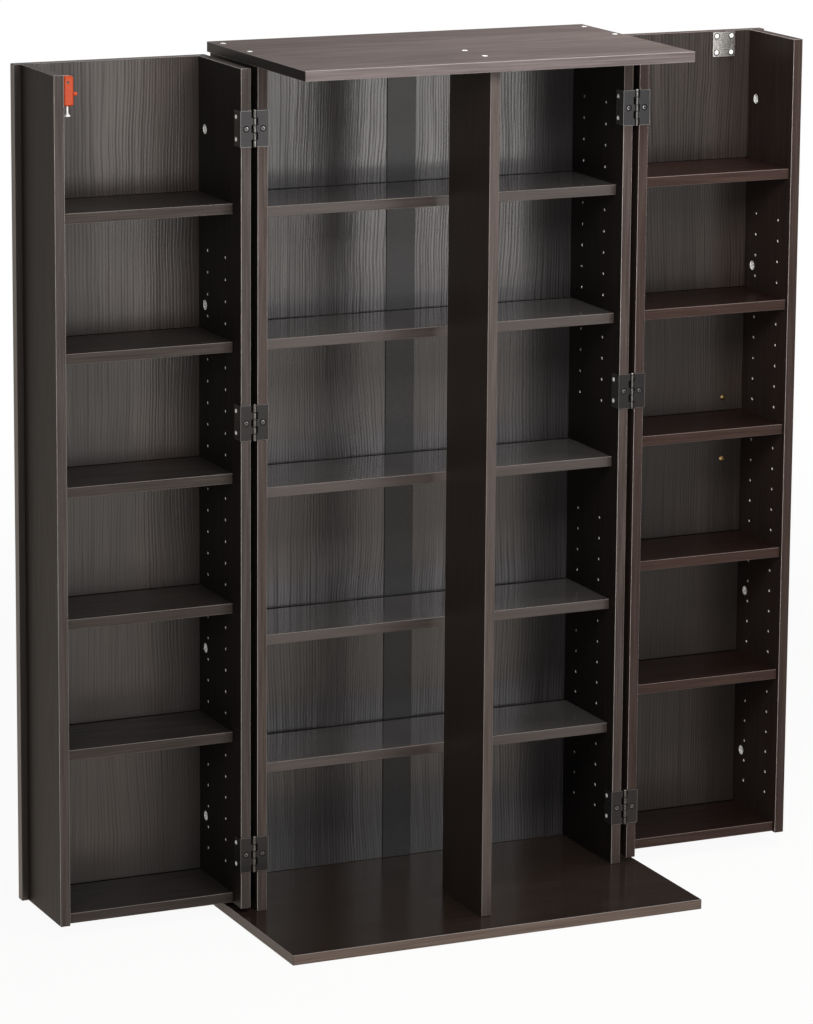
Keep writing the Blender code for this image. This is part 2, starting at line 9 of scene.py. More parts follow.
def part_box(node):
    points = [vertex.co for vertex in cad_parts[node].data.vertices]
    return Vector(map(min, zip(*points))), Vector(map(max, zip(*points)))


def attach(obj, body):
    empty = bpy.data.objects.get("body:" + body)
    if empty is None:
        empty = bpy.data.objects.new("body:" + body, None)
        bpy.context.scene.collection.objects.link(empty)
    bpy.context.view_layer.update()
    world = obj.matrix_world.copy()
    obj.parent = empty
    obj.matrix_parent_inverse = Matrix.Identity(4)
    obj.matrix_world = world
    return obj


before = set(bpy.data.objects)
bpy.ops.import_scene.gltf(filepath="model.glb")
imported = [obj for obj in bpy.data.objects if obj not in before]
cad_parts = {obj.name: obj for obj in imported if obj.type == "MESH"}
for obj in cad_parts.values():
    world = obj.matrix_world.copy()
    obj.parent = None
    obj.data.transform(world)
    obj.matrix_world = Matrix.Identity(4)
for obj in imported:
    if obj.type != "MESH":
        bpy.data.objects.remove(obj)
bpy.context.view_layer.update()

# Camera, at the photograph's viewing angle
FRAME_WIDTH_PX = 813
FRAME_HEIGHT_PX = 1024
FOCAL_LENGTH_PX = 4440.8
CENTRE_X_PX = 420.0
CENTRE_Y_PX = 385.0
VIEW_AZIMUTH = math.radians(-24.699)
VIEW_ELEVATION = math.radians(11.334)
VIEW_ROLL = math.radians(0.463)
VIEW_DISTANCE = 6.4966
VIEW_TARGET = Vector((-0.0168, 0.0685, 0.7668))
SENSOR_WIDTH = 36.0
CLIP_END = 100

# The object's two sides and the levels of its hinges
SIDES = ("left", "right")
SIGN = {"left": -1, "right": 1}
LEVELS = ("top", "middle", "bottom")


def add_camera():
    data = bpy.data.cameras.new("photo_camera")
    data.sensor_width = SENSOR_WIDTH
    data.lens = FOCAL_LENGTH_PX / FRAME_HEIGHT_PX * SENSOR_WIDTH
    data.shift_x = (FRAME_WIDTH_PX / 2 - CENTRE_X_PX) / FRAME_HEIGHT_PX
    data.shift_y = (CENTRE_Y_PX - FRAME_HEIGHT_PX / 2) / FRAME_HEIGHT_PX
    data.clip_end = CLIP_END
    camera = bpy.data.objects.new("photo_camera", data)
    flat = math.cos(VIEW_ELEVATION)
    back = Vector((math.sin(VIEW_AZIMUTH) * flat, -math.cos(VIEW_AZIMUTH) * flat, math.sin(VIEW_ELEVATION)))
    turn = back.to_track_quat("Z", "Y").to_matrix() @ Matrix.Rotation(VIEW_ROLL, 3, "Z")
    camera.matrix_world = Matrix.Translation(VIEW_TARGET + back * VIEW_DISTANCE) @ turn.to_4x4()
    bpy.context.scene.collection.objects.link(camera)
    bpy.context.scene.camera = camera


# Node helpers

# The sockets of a mix of two colours, by number, because its other sockets have the same names
MIX_FIRST = 6
MIX_SECOND = 7
MIX_RESULT = 2


class Graph:
    """Builds the nodes of one material, or of the world, a call for each node."""

    def __init__(self, owner):
        self.owner = owner
        self.owner.use_nodes = True
        self.tree = self.owner.node_tree
        self.tree.nodes.clear()

    def add(self, kind, **settings):
        made = self.tree.nodes.new(kind)
        for key, value in settings.items():
            setattr(made, key, value)
        return made

    def feed(self, socket, value):
        if isinstance(value, bpy.types.NodeSocket):
            self.tree.links.new(value, socket)
        else:
            socket.default_value = value

    def math(self, operation, first, second=0.0, third=0.0):
        made = self.add("ShaderNodeMath", operation=operation)
        for socket, value in zip(made.inputs, (first, second, third)):
            self.feed(socket, value)
        return made.outputs[0]

    def vector(self, operation, first, second=None, output=0):
        made = self.add("ShaderNodeVectorMath", operation=operation)
        self.feed(made.inputs[0], first)
        if second is not None:
            self.feed(made.inputs[1], second)
        return made.outputs[output]

    def join(self, x, y):
        made = self.add("ShaderNodeCombineXYZ")
        self.feed(made.inputs[0], x)
        self.feed(made.inputs[1], y)
        return made.outputs[0]

    def split(self, vector):
        made = self.add("ShaderNodeSeparateXYZ")
        self.feed(made.inputs[0], vector)
        return made.outputs

    def noise(self, vector, scale, detail=2.0, roughness=0.5):
        made = self.add("ShaderNodeTexNoise")
        self.feed(made.inputs["Vector"], vector)
        self.feed(made.inputs["Scale"], scale)
        self.feed(made.inputs["Detail"], detail)
        self.feed(made.inputs["Roughness"], roughness)
        return made.outputs[0]

    def ramp(self, value, low, high, to_low=0.0, to_high=1.0):
        """A smooth step from to_low to to_high, where value goes from low to high."""
        made = self.add("ShaderNodeMapRange", interpolation_type="SMOOTHSTEP")
        for socket, number in zip(made.inputs, (value, low, high, to_low, to_high)):
            self.feed(socket, number)
        return made.outputs[0]

    def mix(self, amount, first, second):
        made = self.add("ShaderNodeMix", data_type="RGBA")
        self.feed(made.inputs[0], amount)
        self.feed(made.inputs[MIX_FIRST], first)
        self.feed(made.inputs[MIX_SECOND], second)
        return made.outputs[MIX_RESULT]

    def surface(self, colour, roughness, height, relief, **values):
        """A principled surface with a bump that is relief metres high."""
        shader = self.add("ShaderNodeBsdfPrincipled")
        self.feed(shader.inputs["Base Color"], colour)
        self.feed(shader.inputs["Roughness"], roughness)
        for key, value in values.items():
            self.feed(shader.inputs[key.replace("_", " ")], value)
        bump = self.add("ShaderNodeBump")
        bump.inputs["Strength"].default_value = 1.0
        bump.inputs["Distance"].default_value = relief
        self.feed(bump.inputs["Height"], height)
        self.feed(shader.inputs["Normal"], bump.outputs[0])
        output = self.add("ShaderNodeOutputMaterial")
        self.feed(output.inputs[0], shader.outputs[0])
        return self.owner


def material_graph(name):
    return Graph(bpy.data.materials.new(name))


def rgb(red, green, blue):
    return (red, green, blue, 1.0)


# Boards: melamine faces with an embossed grain, banded edges, and a painted highlight on their chamfered
# corners

# The dark and light colour of a board's face, then of its edges, then the painted highlight on its chamfered
# corners
Tones = namedtuple("Tones", "face_dark face_light edge_dark edge_light arris")

# pitch is the grain's, in metres, and lines the share of its pattern that light lines have.
# roughness and specular are the face's, relief its embossing in metres, and the last field how far the end
# edges are darkened as painted shade.
Finish = namedtuple("Finish", "pitch lines roughness specular relief end_shade", defaults=(0.0,))

AXES = {"X": 0, "Y": 1, "Z": 2}

# A noise that is stretched along the grain: its scales along and across, its detail and its roughness
Pattern = namedtuple("Pattern", "along across detail roughness", defaults=(0.5,))

FINE = Pattern(along=9.0, across=420.0, detail=3.0, roughness=0.6)
SWEEP = Pattern(along=2.2, across=6.0, detail=0.0)
WIGGLE = Pattern(along=12.0, across=9.0, detail=1.0)
BANDS = Pattern(along=0.7, across=11.0, detail=1.0)
CLOUDS = Pattern(along=1.4, across=7.0, detail=2.0)

# How far a line wanders sideways, in metres, and how finely its threads run
SWEEP_REACH = 0.050
WIGGLE_REACH = 0.0065
THREADS_PER_PITCH = 2.1
THREAD_SCALE_ALONG = 3.0
THREAD_DETAIL = 2.0
THREAD_ROUGHNESS = 0.6
WAVE_STRENGTH = 0.42
THREAD_STRENGTH = 3.4

# The parts of a pattern's values between which it goes from dark to light, and what it gives there
RIDGE_RANGE = (-0.95, 0.45)
BAND_RANGE = (0.30, 0.58)
BAND_RESULT = (0.45, 1.0)
PORE_RANGE = (0.35, 0.70)
CLOUD_RANGE = (0.25, 0.70)
CLOUD_RESULT = (0.60, 1.10)
EDGE_RANGE = (0.25, 0.75)

# Above these parts of the normal a point lies on the face, on the face or its arris, and on an end edge
FACE_TURN = 0.92
ARRIS_TURN = 0.35
END_TURN = 0.6

# A face has its finish's roughness where its light reaches LIGHT_FULL, and is duller where it is dark:
# by DULL_GROUND on any board, and by DULL_BY_LINES more where the pattern is all lines.
EDGE_ROUGHNESS = 0.42
LIGHT_FULL = 0.8
DULL_GROUND = 0.04
DULL_BY_LINES = 0.20

# How far inside its box a board counts as hollow, and the width of the painted shadow of the gap behind a
# shelf, in metres
HOLE_MARGIN = 0.0003
GAP_SHADOW_WIDTH = 0.006
BARE_CHIPBOARD = rgb(0.95, 0.93, 0.89)
# Near black for end edges: painted shade.
PAINTED_END_SHADE = rgb(0.009, 0.0072, 0.0062)
# Black for the painted shadow of the gap behind a shelf's rear.
GAP_SHADOW_BLACK = rgb(0.0, 0.0, 0.0)


def grain_noise(graph, position, grain, pattern):
    scale = [pattern.across] * 3
    scale[AXES[grain]] = pattern.along
    stretched = graph.vector("MULTIPLY", position, scale)
    return graph.noise(stretched, 1.0, pattern.detail, pattern.roughness)


def grain_lines(graph, position, grain, across, pitch):
    """Light lines that wander along the board on a dark ground, strong in some bands and faint in others."""
    along = graph.split(position)[AXES[grain]]
    sweep = grain_noise(graph, position, grain, SWEEP)
    wiggle = grain_noise(graph, position, grain, WIGGLE)
    moved = graph.math("MULTIPLY_ADD", sweep, SWEEP_REACH, graph.split(position)[AXES[across]])
    moved = graph.math("MULTIPLY_ADD", wiggle, WIGGLE_REACH, moved)
    wave = graph.math("SINE", graph.math("MULTIPLY", moved, 2 * math.pi / pitch))
    thread_x = graph.math("MULTIPLY", moved, THREADS_PER_PITCH / pitch)
    thread_y = graph.math("MULTIPLY", along, THREAD_SCALE_ALONG)
    threads = graph.noise(graph.join(thread_x, thread_y), 1.0, THREAD_DETAIL, THREAD_ROUGHNESS)
    threads = graph.math("MULTIPLY", graph.math("SUBTRACT", threads, 0.5), THREAD_STRENGTH)
    ridge = graph.math("MULTIPLY_ADD", wave, WAVE_STRENGTH, threads)
    ridge = graph.ramp(ridge, *RIDGE_RANGE)
    strong = graph.ramp(grain_noise(graph, position, grain, BANDS), *BAND_RANGE, *BAND_RESULT)
    return graph.math("MULTIPLY", ridge, strong)


def inside_box(graph, position, low, high):
    """1 where the surface lies deeper in the board than its faces: in a hole or a recess."""
    inside = 1.0
    for value, lowest, highest in zip(graph.split(position), low, high):
        above = graph.math("GREATER_THAN", value, lowest + HOLE_MARGIN)
        below = graph.math("LESS_THAN", value, highest - HOLE_MARGIN)
        inside = graph.math("MULTIPLY", inside, graph.math("MULTIPLY", above, below))
    return inside


def board_material(name, face, grain, tones, finish, hollow=None, gap_shadow_at=None):
    """face is the axis across the board, grain the axis that its length follows.
    hollow is the box of a board whose holes show bare chipboard.
    The last argument is the depth where a shelf's top meets the panel behind it; the strip just in front of
    it gets a painted shadow of a gap, black and dull."""
    graph = material_graph(name)
    place = graph.add("ShaderNodeTexCoord")
    position = place.outputs["Object"]
    facing_part = graph.split(graph.vector("ABSOLUTE", place.outputs["Normal"]))
    on_face = graph.math("GREATER_THAN", facing_part[AXES[face]], FACE_TURN)
    on_arris = graph.math("GREATER_THAN", facing_part[AXES[face]], ARRIS_TURN)
    on_end = graph.math("GREATER_THAN", facing_part[AXES[grain]], END_TURN)
    across = next(axis for axis in "XYZ" if axis not in (face, grain))
    lengthwise = grain_noise(graph, position, grain, FINE)
    endwise = grain_noise(graph, position, across, FINE)
    fine = graph.mix(on_end, lengthwise, endwise)
    line = grain_lines(graph, position, grain, across, finish.pitch)
    pores = graph.math("MULTIPLY", graph.ramp(fine, *PORE_RANGE), 1.0 - finish.lines)
    light = graph.math("MULTIPLY_ADD", line, finish.lines, pores)
    cloud = grain_noise(graph, position, grain, CLOUDS)
    light = graph.math("MULTIPLY", light, graph.ramp(cloud, *CLOUD_RANGE, *CLOUD_RESULT))
    face_colour = graph.mix(light, tones.face_dark, tones.face_light)
    edge_colour = graph.mix(graph.ramp(fine, *EDGE_RANGE), tones.edge_dark, tones.edge_light)
    # End edges are darkened towards near black by the finish's share: painted shade.
    edge_colour = graph.mix(graph.math("MULTIPLY", on_end, finish.end_shade), edge_colour, PAINTED_END_SHADE)
    # The chamfered corners get a lighter colour: a painted highlight.
    edge_or_arris = graph.mix(on_arris, edge_colour, tones.arris)
    colour = graph.mix(on_face, edge_or_arris, face_colour)
    dullest = finish.roughness + DULL_GROUND + finish.lines * DULL_BY_LINES
    dull = graph.ramp(light, 0.0, LIGHT_FULL, dullest, finish.roughness)
    dull = graph.math("SUBTRACT", dull, EDGE_ROUGHNESS)
    roughness = graph.math("MULTIPLY_ADD", on_face, dull, EDGE_ROUGHNESS)
    if hollow:
        colour = graph.mix(inside_box(graph, position, *hollow), colour, BARE_CHIPBOARD)
    # A dark, dull strip along the shelf's rear: painted shadow of the gap there.
    if gap_shadow_at:
        in_gap_shadow = graph.math("GREATER_THAN", graph.split(position)[1], gap_shadow_at - GAP_SHADOW_WIDTH)
        colour = graph.mix(in_gap_shadow, colour, GAP_SHADOW_BLACK)
        roughness = graph.math("MAXIMUM", roughness, in_gap_shadow)
    height = graph.math("MULTIPLY", graph.math("ADD", light, fine), on_face)
    return graph.surface(colour, roughness, height, finish.relief, Specular_IOR_Level=finish.specular)


CABINET_TONES = Tones(
    face_dark=rgb(0.0110, 0.0084, 0.0074),
    face_light=rgb(0.0155, 0.0122, 0.0108),
    edge_dark=rgb(0.043, 0.031, 0.027),
    edge_light=rgb(0.088, 0.068, 0.061),
    arris=rgb(0.18, 0.155, 0.14),
)
# The top is the same board as the others; its much lighter tones are painted sheen and light from above.
TOP_TONES = Tones(
    face_dark=rgb(0.055, 0.042, 0.038),
    face_light=rgb(0.158, 0.124, 0.115),
    edge_dark=rgb(0.084, 0.066, 0.063),
    edge_light=rgb(0.150, 0.124, 0.120),
    arris=rgb(0.24, 0.21, 0.20),
)
BASE_TONES = Tones(
    face_dark=rgb(0.0185, 0.0122, 0.0096),
    face_light=rgb(0.034, 0.0232, 0.0186),
    edge_dark=rgb(0.084, 0.058, 0.046),
    edge_light=rgb(0.142, 0.106, 0.086),
    arris=TOP_TONES.arris,
)
# The shelves are the same board as the cabinet; their lighter faces are painted reflection of the panel
# behind, and their darker edges painted shade.
SHELF_TONES = Tones(
    face_dark=rgb(0.052, 0.0460, 0.0450),
    face_light=rgb(0.083, 0.0750, 0.0735),
    edge_dark=rgb(0.019, 0.0122, 0.0104),
    edge_light=rgb(0.043, 0.0300, 0.0262),
    arris=CABINET_TONES.arris,
)
POST_TONES = CABINET_TONES._replace(
    face_dark=rgb(0.0200, 0.0138, 0.0106),
    face_light=rgb(0.0310, 0.0222, 0.0178),
)
# The back panel's light grain lines are far lighter than the other boards': partly the grain, partly painted
# sheen of the embossed surface.
BACK_TONES = CABINET_TONES._replace(
    face_dark=rgb(0.0045, 0.0032, 0.0032),
    face_light=rgb(0.085, 0.079, 0.081),
)

# The light on the photograph's two doors differs, and so do their tones
WALL_TONES = {
    "left": Tones(
        face_dark=rgb(0.0105, 0.0084, 0.0074),
        face_light=rgb(0.0150, 0.0122, 0.0108),
        edge_dark=rgb(0.044, 0.035, 0.031),
        edge_light=rgb(0.077, 0.064, 0.058),
        arris=rgb(0.16, 0.14, 0.13),
    ),
    "right": Tones(
        face_dark=rgb(0.0210, 0.0135, 0.0115),
        face_light=rgb(0.0310, 0.0210, 0.0180),
        edge_dark=rgb(0.034, 0.0210, 0.0180),
        edge_light=rgb(0.063, 0.0435, 0.0380),
        arris=rgb(0.15, 0.115, 0.105),
    ),
}
PANEL_TONES = {
    "left": WALL_TONES["left"]._replace(
        face_dark=rgb(0.0076, 0.0053, 0.0046),
        face_light=rgb(0.041, 0.0315, 0.0278),
    ),
    "right": WALL_TONES["right"]._replace(
        face_dark=rgb(0.0076, 0.0051, 0.0043),
        face_light=rgb(0.041, 0.0305, 0.0266),
    ),
}
DOOR_SHELF_TONES = {
    "left": WALL_TONES["left"]._replace(
        face_dark=rgb(0.0175, 0.0143, 0.0130),
        face_light=rgb(0.0290, 0.0247, 0.0228),
        edge_dark=rgb(0.022, 0.0168, 0.0146),
        edge_light=rgb(0.047, 0.0375, 0.0325),
    ),
    "right": WALL_TONES["right"]._replace(
        face_dark=rgb(0.013, 0.0066, 0.0050),
        face_light=rgb(0.021, 0.0112, 0.0090),
        edge_dark=rgb(0.025, 0.0124, 0.0098),
        edge_light=rgb(0.054, 0.0300, 0.0243),
    ),
}

TOP_FINISH = Finish(pitch=0.0070, lines=0.45, roughness=0.50, specular=0.2, relief=0.00003, end_shade=0.95)
BASE_FINISH = Finish(pitch=0.0070, lines=0.35, roughness=0.14, specular=0.34, relief=0.00002, end_shade=0.5)
POST_FINISH = Finish(pitch=0.0046, lines=0.1, roughness=0.30, specular=0.35, relief=0.00001)
BACK_FINISH = Finish(pitch=0.0046, lines=0.85, roughness=0.13, specular=0.66, relief=0.00008)
SHELF_FINISH = Finish(pitch=0.0060, lines=0.2, roughness=0.07, specular=0.8, relief=0.00001)
WALL_FINISH = Finish(pitch=0.0046, lines=0.06, roughness=0.45, specular=0.10, relief=0.00001)
DOOR_SHELF_FINISH = Finish(pitch=0.0060, lines=0.15, roughness=0.32, specular=0.2, relief=0.00001)
LEFT_PANEL_FINISH = Finish(pitch=0.0050, lines=0.85, roughness=0.28, specular=0.66, relief=0.00009)
PANEL_FINISH = {"left": LEFT_PANEL_FINISH, "right": LEFT_PANEL_FINISH._replace(specular=0.46)}

CABINET_SHELVES = tuple("carcass_shelf_%d" % number for number in range(1, 6))
DOOR_SHELVES = ("bottom", "fixed_shelf", "shelf_1", "shelf_2", "shelf_3", "shelf_4")


def dress(node, material):
    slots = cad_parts[node].data.materials
    if len(slots) == 0:
        slots.append(material)
    for index in range(len(slots)):
        slots[index] = material


def dress_side(side):
    """Dresses a side of the cabinet and the door that hangs on it."""
    door = side + "_door_"
    walls = ((side + "_side", CABINET_TONES), (door + "hinge_wall", WALL_TONES[side]),
             (door + "free_wall", WALL_TONES[side]))
    for wall, tones in walls:
        board = board_material(wall + "_board", "X", "Z", tones, WALL_FINISH, hollow=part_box(wall))
        dress(wall, board)
    panel = board_material(door + "panel_board", "Y", "Z", PANEL_TONES[side], PANEL_FINISH[side])
    dress(door + "panel", panel)
    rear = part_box(door + "shelf_1")[1].y
    shelf = board_material(door + "shelf", "Z", "X", DOOR_SHELF_TONES[side], DOOR_SHELF_FINISH, gap_shadow_at=rear)
    for part in DOOR_SHELVES:
        dress(door + part, shelf)


def dress_boards():
    dress("top_panel", board_material("top_board", "Z", "X", TOP_TONES, TOP_FINISH))
    dress("base_panel", board_material("base_board", "Z", "X", BASE_TONES, BASE_FINISH))
    dress("centre_post", board_material("post_board", "X", "Z", POST_TONES, POST_FINISH))
    back = board_material("back_panel", "Y", "Z", BACK_TONES, BACK_FINISH)
    dress("back_panel_left", back)
    dress("back_panel_right", back)
    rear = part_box(CABINET_SHELVES[0])[1].y
    shelf = board_material("cabinet_shelf", "Z", "X", SHELF_TONES, SHELF_FINISH, gap_shadow_at=rear)
    for node in CABINET_SHELVES:
        dress(node, shelf)
    for side in SIDES:
        dress_side(side)


# Plain materials of the strip and the hardware

GRIT_SCALE = 900.0
GRIT_RANGE = (0.3, 0.7)
GRIT_DULLING = 0.08
WEAR_DETAIL = 4.0
WEAR_ROUGHNESS = 0.65
WEAR_RANGE = (0.35, 0.65)
WEAR_SHEEN_RANGE = (0.3, 0.7)
WEAR_DULLING = 0.12
FINE_RELIEF = 0.00001


def satin_plastic(name, colour, mottle, roughness, specular, relief=FINE_RELIEF):
    """mottle is the brightness of the second colour in the grit, as a share of the first."""
    graph = material_graph(name)
    position = graph.add("ShaderNodeTexCoord").outputs["Object"]
    grit = graph.noise(position, GRIT_SCALE)
    second = rgb(*[value * mottle for value in colour[:3]])
    shade = graph.mix(graph.ramp(grit, *GRIT_RANGE), colour, second)
    rough = graph.ramp(grit, *GRIT_RANGE, roughness, roughness + GRIT_DULLING)
    return graph.surface(shade, rough, grit, relief, Specular_IOR_Level=specular)


# colour is the clean metal's, worn the rubbed metal's, and wear_scale the scale of the pattern of both
Metal = namedtuple("Metal", "colour worn roughness wear_scale relief metallic", defaults=(FINE_RELIEF, 1.0))

METALS = {
    "pin_steel": Metal(
        colour=rgb(0.62, 0.62, 0.60),
        worn=rgb(0.45, 0.45, 0.44),
        roughness=0.24,
        wear_scale=500.0,
    ),
    "zinc_steel": Metal(
        colour=rgb(0.96, 0.96, 0.94),
        worn=rgb(0.88, 0.88, 0.86),
        roughness=0.34,
        wear_scale=400.0,
        metallic=0.15,
    ),
    "black_screw": Metal(
        colour=rgb(0.26, 0.26, 0.26),
        worn=rgb(0.12, 0.12, 0.12),
        roughness=0.12,
        wear_scale=400.0,
    ),
    "plate_steel": Metal(
        colour=rgb(0.90, 0.89, 0.86),
        worn=rgb(0.70, 0.69, 0.66),
        roughness=0.24,
        wear_scale=400.0,
    ),
    "bronze": Metal(
        colour=rgb(0.26, 0.19, 0.12),
        worn=rgb(0.12, 0.085, 0.055),
        roughness=0.30,
        wear_scale=180.0,
        relief=0.00002,
    ),
    "knuckle_nickel": Metal(
        colour=rgb(0.17, 0.17, 0.17),
        worn=rgb(0.04, 0.04, 0.04),
        roughness=0.18,
        wear_scale=900.0,
    ),
    "brass": Metal(
        colour=rgb(0.70, 0.50, 0.24),
        worn=rgb(0.42, 0.28, 0.12),
        roughness=0.28,
        wear_scale=300.0,
    ),
}


def worked_metal(name):
    metal = METALS[name]
    graph = material_graph(name)
    position = graph.add("ShaderNodeTexCoord").outputs["Object"]
    wear = graph.noise(position, metal.wear_scale, WEAR_DETAIL, WEAR_ROUGHNESS)
    shade = graph.mix(graph.ramp(wear, *WEAR_RANGE), metal.worn, metal.colour)
    rough = graph.ramp(wear, *WEAR_SHEEN_RANGE, metal.roughness + WEAR_DULLING, metal.roughness)
    return graph.surface(shade, rough, wear, metal.relief, Metallic=metal.metallic)


LEAF_BLACK = rgb(0.033, 0.033, 0.035)
LEAF_GREY = rgb(0.043, 0.043, 0.045)
LEAF_EDGE_HIGHLIGHT = rgb(0.18, 0.18, 0.18)
LEAF_GRIT_SCALE = 2400.0
LEAF_GRIT_RANGE = (0.2, 0.8)
LEAF_ROUGHNESS = (0.20, 0.30)
LEAF_RELIEF = 0.000002
# Shares of a leaf's height and width that carry a painted highlight at each end
EDGE_HIGHLIGHT_HEIGHT = 0.009
EDGE_HIGHLIGHT_WIDTH = 0.0198


def leaf_metal():
    """Black nickel, with a painted highlight along the leaf's top, bottom and side edges."""
    graph = material_graph("black_nickel")
    place = graph.add("ShaderNodeTexCoord")
    across, _, up = graph.split(place.outputs["Generated"])
    from_middle = graph.math("ABSOLUTE", graph.math("SUBTRACT", up, 0.5))
    # The leaf's ends and side edges get a lighter colour: painted highlight.
    edge_highlight = graph.math("GREATER_THAN", from_middle, 0.5 - EDGE_HIGHLIGHT_HEIGHT)
    from_middle = graph.math("ABSOLUTE", graph.math("SUBTRACT", across, 0.5))
    edge_highlight = graph.math("MAXIMUM", edge_highlight, graph.math("GREATER_THAN", from_middle, 0.5 - EDGE_HIGHLIGHT_WIDTH))
    grit = graph.noise(place.outputs["Object"], LEAF_GRIT_SCALE)
    colour = graph.mix(edge_highlight, graph.mix(grit, LEAF_BLACK, LEAF_GREY), LEAF_EDGE_HIGHLIGHT)
    roughness = graph.ramp(grit, *LEAF_GRIT_RANGE, *LEAF_ROUGHNESS)
    return graph.surface(colour, roughness, grit, LEAF_RELIEF, Metallic=1.0)


LATCH_ORANGE = rgb(0.42, 0.050, 0.011)
BOLT_STEEL_DARK = rgb(0.86, 0.86, 0.84)
BOLT_STEEL_LIGHT = rgb(0.94, 0.94, 0.92)
BOLT_METALLIC = 0.6
BOLT_ROUGHNESS = 0.32
CAP_MARGIN = 0.0002


def latch_bolt_material():
    """Bright steel, with a plastic cap on the knob at the latch's right-hand side."""
    graph = material_graph("latch_bolt_steel")
    position = graph.add("ShaderNodeTexCoord").outputs["Object"]
    cap_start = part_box("latch_body")[1].x + CAP_MARGIN
    capped = graph.math("GREATER_THAN", graph.split(position)[0], cap_start)
    grit = graph.noise(position, GRIT_SCALE)
    colour = graph.mix(capped, graph.mix(grit, BOLT_STEEL_DARK, BOLT_STEEL_LIGHT), LATCH_ORANGE)
    metallic = graph.math("MULTIPLY_ADD", capped, -BOLT_METALLIC, BOLT_METALLIC)
    return graph.surface(colour, BOLT_ROUGHNESS, grit, FINE_RELIEF, Metallic=metallic)


STRIP_GREY = rgb(0.022, 0.022, 0.023)
STRIP_RELIEF = 0.000005
# Near black for the rings round screw heads: painted shadow of their countersinks.
SINK_SHADOW_BLACK = rgb(0.003, 0.003, 0.003)


def dress_hardware():
    """Dresses the strip and the hardware, and returns the finishes of bright, black and plate fasteners."""
    strip = satin_plastic("joint_strip", STRIP_GREY, mottle=1.25, roughness=0.22, specular=0.30,
                          relief=STRIP_RELIEF)
    dress("back_joint_strip", strip)
    black = leaf_metal()
    pin = worked_metal("pin_steel")
    zinc = worked_metal("zinc_steel")
    dark = worked_metal("black_screw")
    plate = worked_metal("plate_steel")
    for side in SIDES:
        for level in LEVELS:
            stem = "%s_%s_hinge_" % (side, level)
            dress(stem + "cabinet_leaf", black)
            dress(stem + "door_leaf", black)
            dress(stem + "pin", pin)
    latch = satin_plastic("latch_plastic", LATCH_ORANGE, mottle=0.85, roughness=0.30, specular=0.35)
    dress("latch_body", latch)
    dress("latch_bolt", latch_bolt_material())
    dress("lock_case", plate)
    dress("lock_bolt", zinc)
    dress("lock_cylinder", plate)
    bronze = worked_metal("bronze")
    for side in SIDES:
        dress(side + "_door_handle", bronze)
    return zinc, dark, plate


# Small fasteners, which the solids leave out

# How far a small piece's foot lies under the surface that it stands on
SEAT_DEPTH = 0.0002
SMOOTH_ANGLE = math.radians(40)
HEAD_SEGMENTS = 24
HEAD_STEPS = 6
# With 1, the rim of a domed head would lie level with the surface that it stands on
HEAD_CROWN = 0.9
# Shares of a screw head's radius: depth and half width of the cross, and its reach
CROSS_DEPTH = 0.22
CROSS_HALF_WIDTH = 0.17
CROSS_REACH = 0.62
SINK_SHADOW_INNER = 0.9
# The hinge plates meet face to face, 0.4 mm apart, when a door is shut, so what is on them lies flush.
FLUSH_SCREW_RISE = 0.00016
FLUSH_SINK_SHADOW_RISE = 0.00010


def facing(place, normal, spin=0.0):
    turn = Vector(normal).to_track_quat("Z", "X").to_matrix().to_4x4()
    return Matrix.Translation(Vector(place)) @ turn @ Matrix.Rotation(spin, 4, "Z")


def circle(radius, segments):
    angles = [2 * math.pi * index / segments for index in range(segments)]
    return [(radius * math.cos(angle), radius * math.sin(angle)) for angle in angles]


def ring_into(bm, matrix, radius, height, segments):
    return [bm.verts.new(matrix @ Vector((x, y, height))) for x, y in circle(radius, segments)]


def bridge(bm, first, second):
    """Faces between two rings of as many points."""
    for index in range(len(first)):
        after = (index + 1) % len(first)
        bm.faces.new((first[index], second[index], second[after], first[after]))


def close_dish(bm, centre, rings):
    """Closes a form from its middle over its rings to a flat underside."""
    first = rings[0]
    for index in range(len(first)):
        bm.faces.new((centre, first[index], first[(index + 1) % len(first)]))
    for inner, outer in zip(rings, rings[1:]):
        bridge(bm, inner, outer)
    bm.faces.new(list(reversed(rings[-1])))


def close_barrel(bm, rings):
    """Closes a form of rings with a flat face at each end."""
    for first, second in zip(rings, rings[1:]):
        bridge(bm, first, second)
    bm.faces.new(list(reversed(rings[0])))
    bm.faces.new(rings[-1])


def add_piece(name, bm, material, body, smooth=True):
    mesh = bpy.data.meshes.new(name)
    bmesh.ops.recalc_face_normals(bm, faces=bm.faces)
    bm.to_mesh(mesh)
    bm.free()
    if smooth:
        mesh.shade_smooth()
        mesh.set_sharp_from_angle(angle=SMOOTH_ANGLE)
    mesh.materials.append(material)
    piece = bpy.data.objects.new(name, mesh)
    bpy.context.scene.collection.objects.link(piece)
    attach(piece, body)


def screw_head_into(bm, matrix, radius, rise):
    """A domed head with a cross recess and a flat underside."""
    recess = radius * CROSS_DEPTH
    rings = []
    centre = bm.verts.new(matrix @ Vector((0, 0, rise - recess)))
    rows = []
    for step in range(1, HEAD_STEPS + 1):
        share = step / HEAD_STEPS
        rows.append((radius * share, rise * math.sqrt(1 - share**2 * HEAD_CROWN)))
    rows.append((radius, -recess))
    for ring_radius, height in rows:
        ring = []
        for x, y in circle(ring_radius, HEAD_SEGMENTS):
            in_arm = min(abs(x), abs(y)) < radius * CROSS_HALF_WIDTH
            in_cross = in_arm and max(abs(x), abs(y)) < radius * CROSS_REACH
            drop = recess if in_cross else 0.0
            ring.append(bm.verts.new(matrix @ Vector((x, y, height - drop))))
        rings.append(ring)
    close_dish(bm, centre, rings)


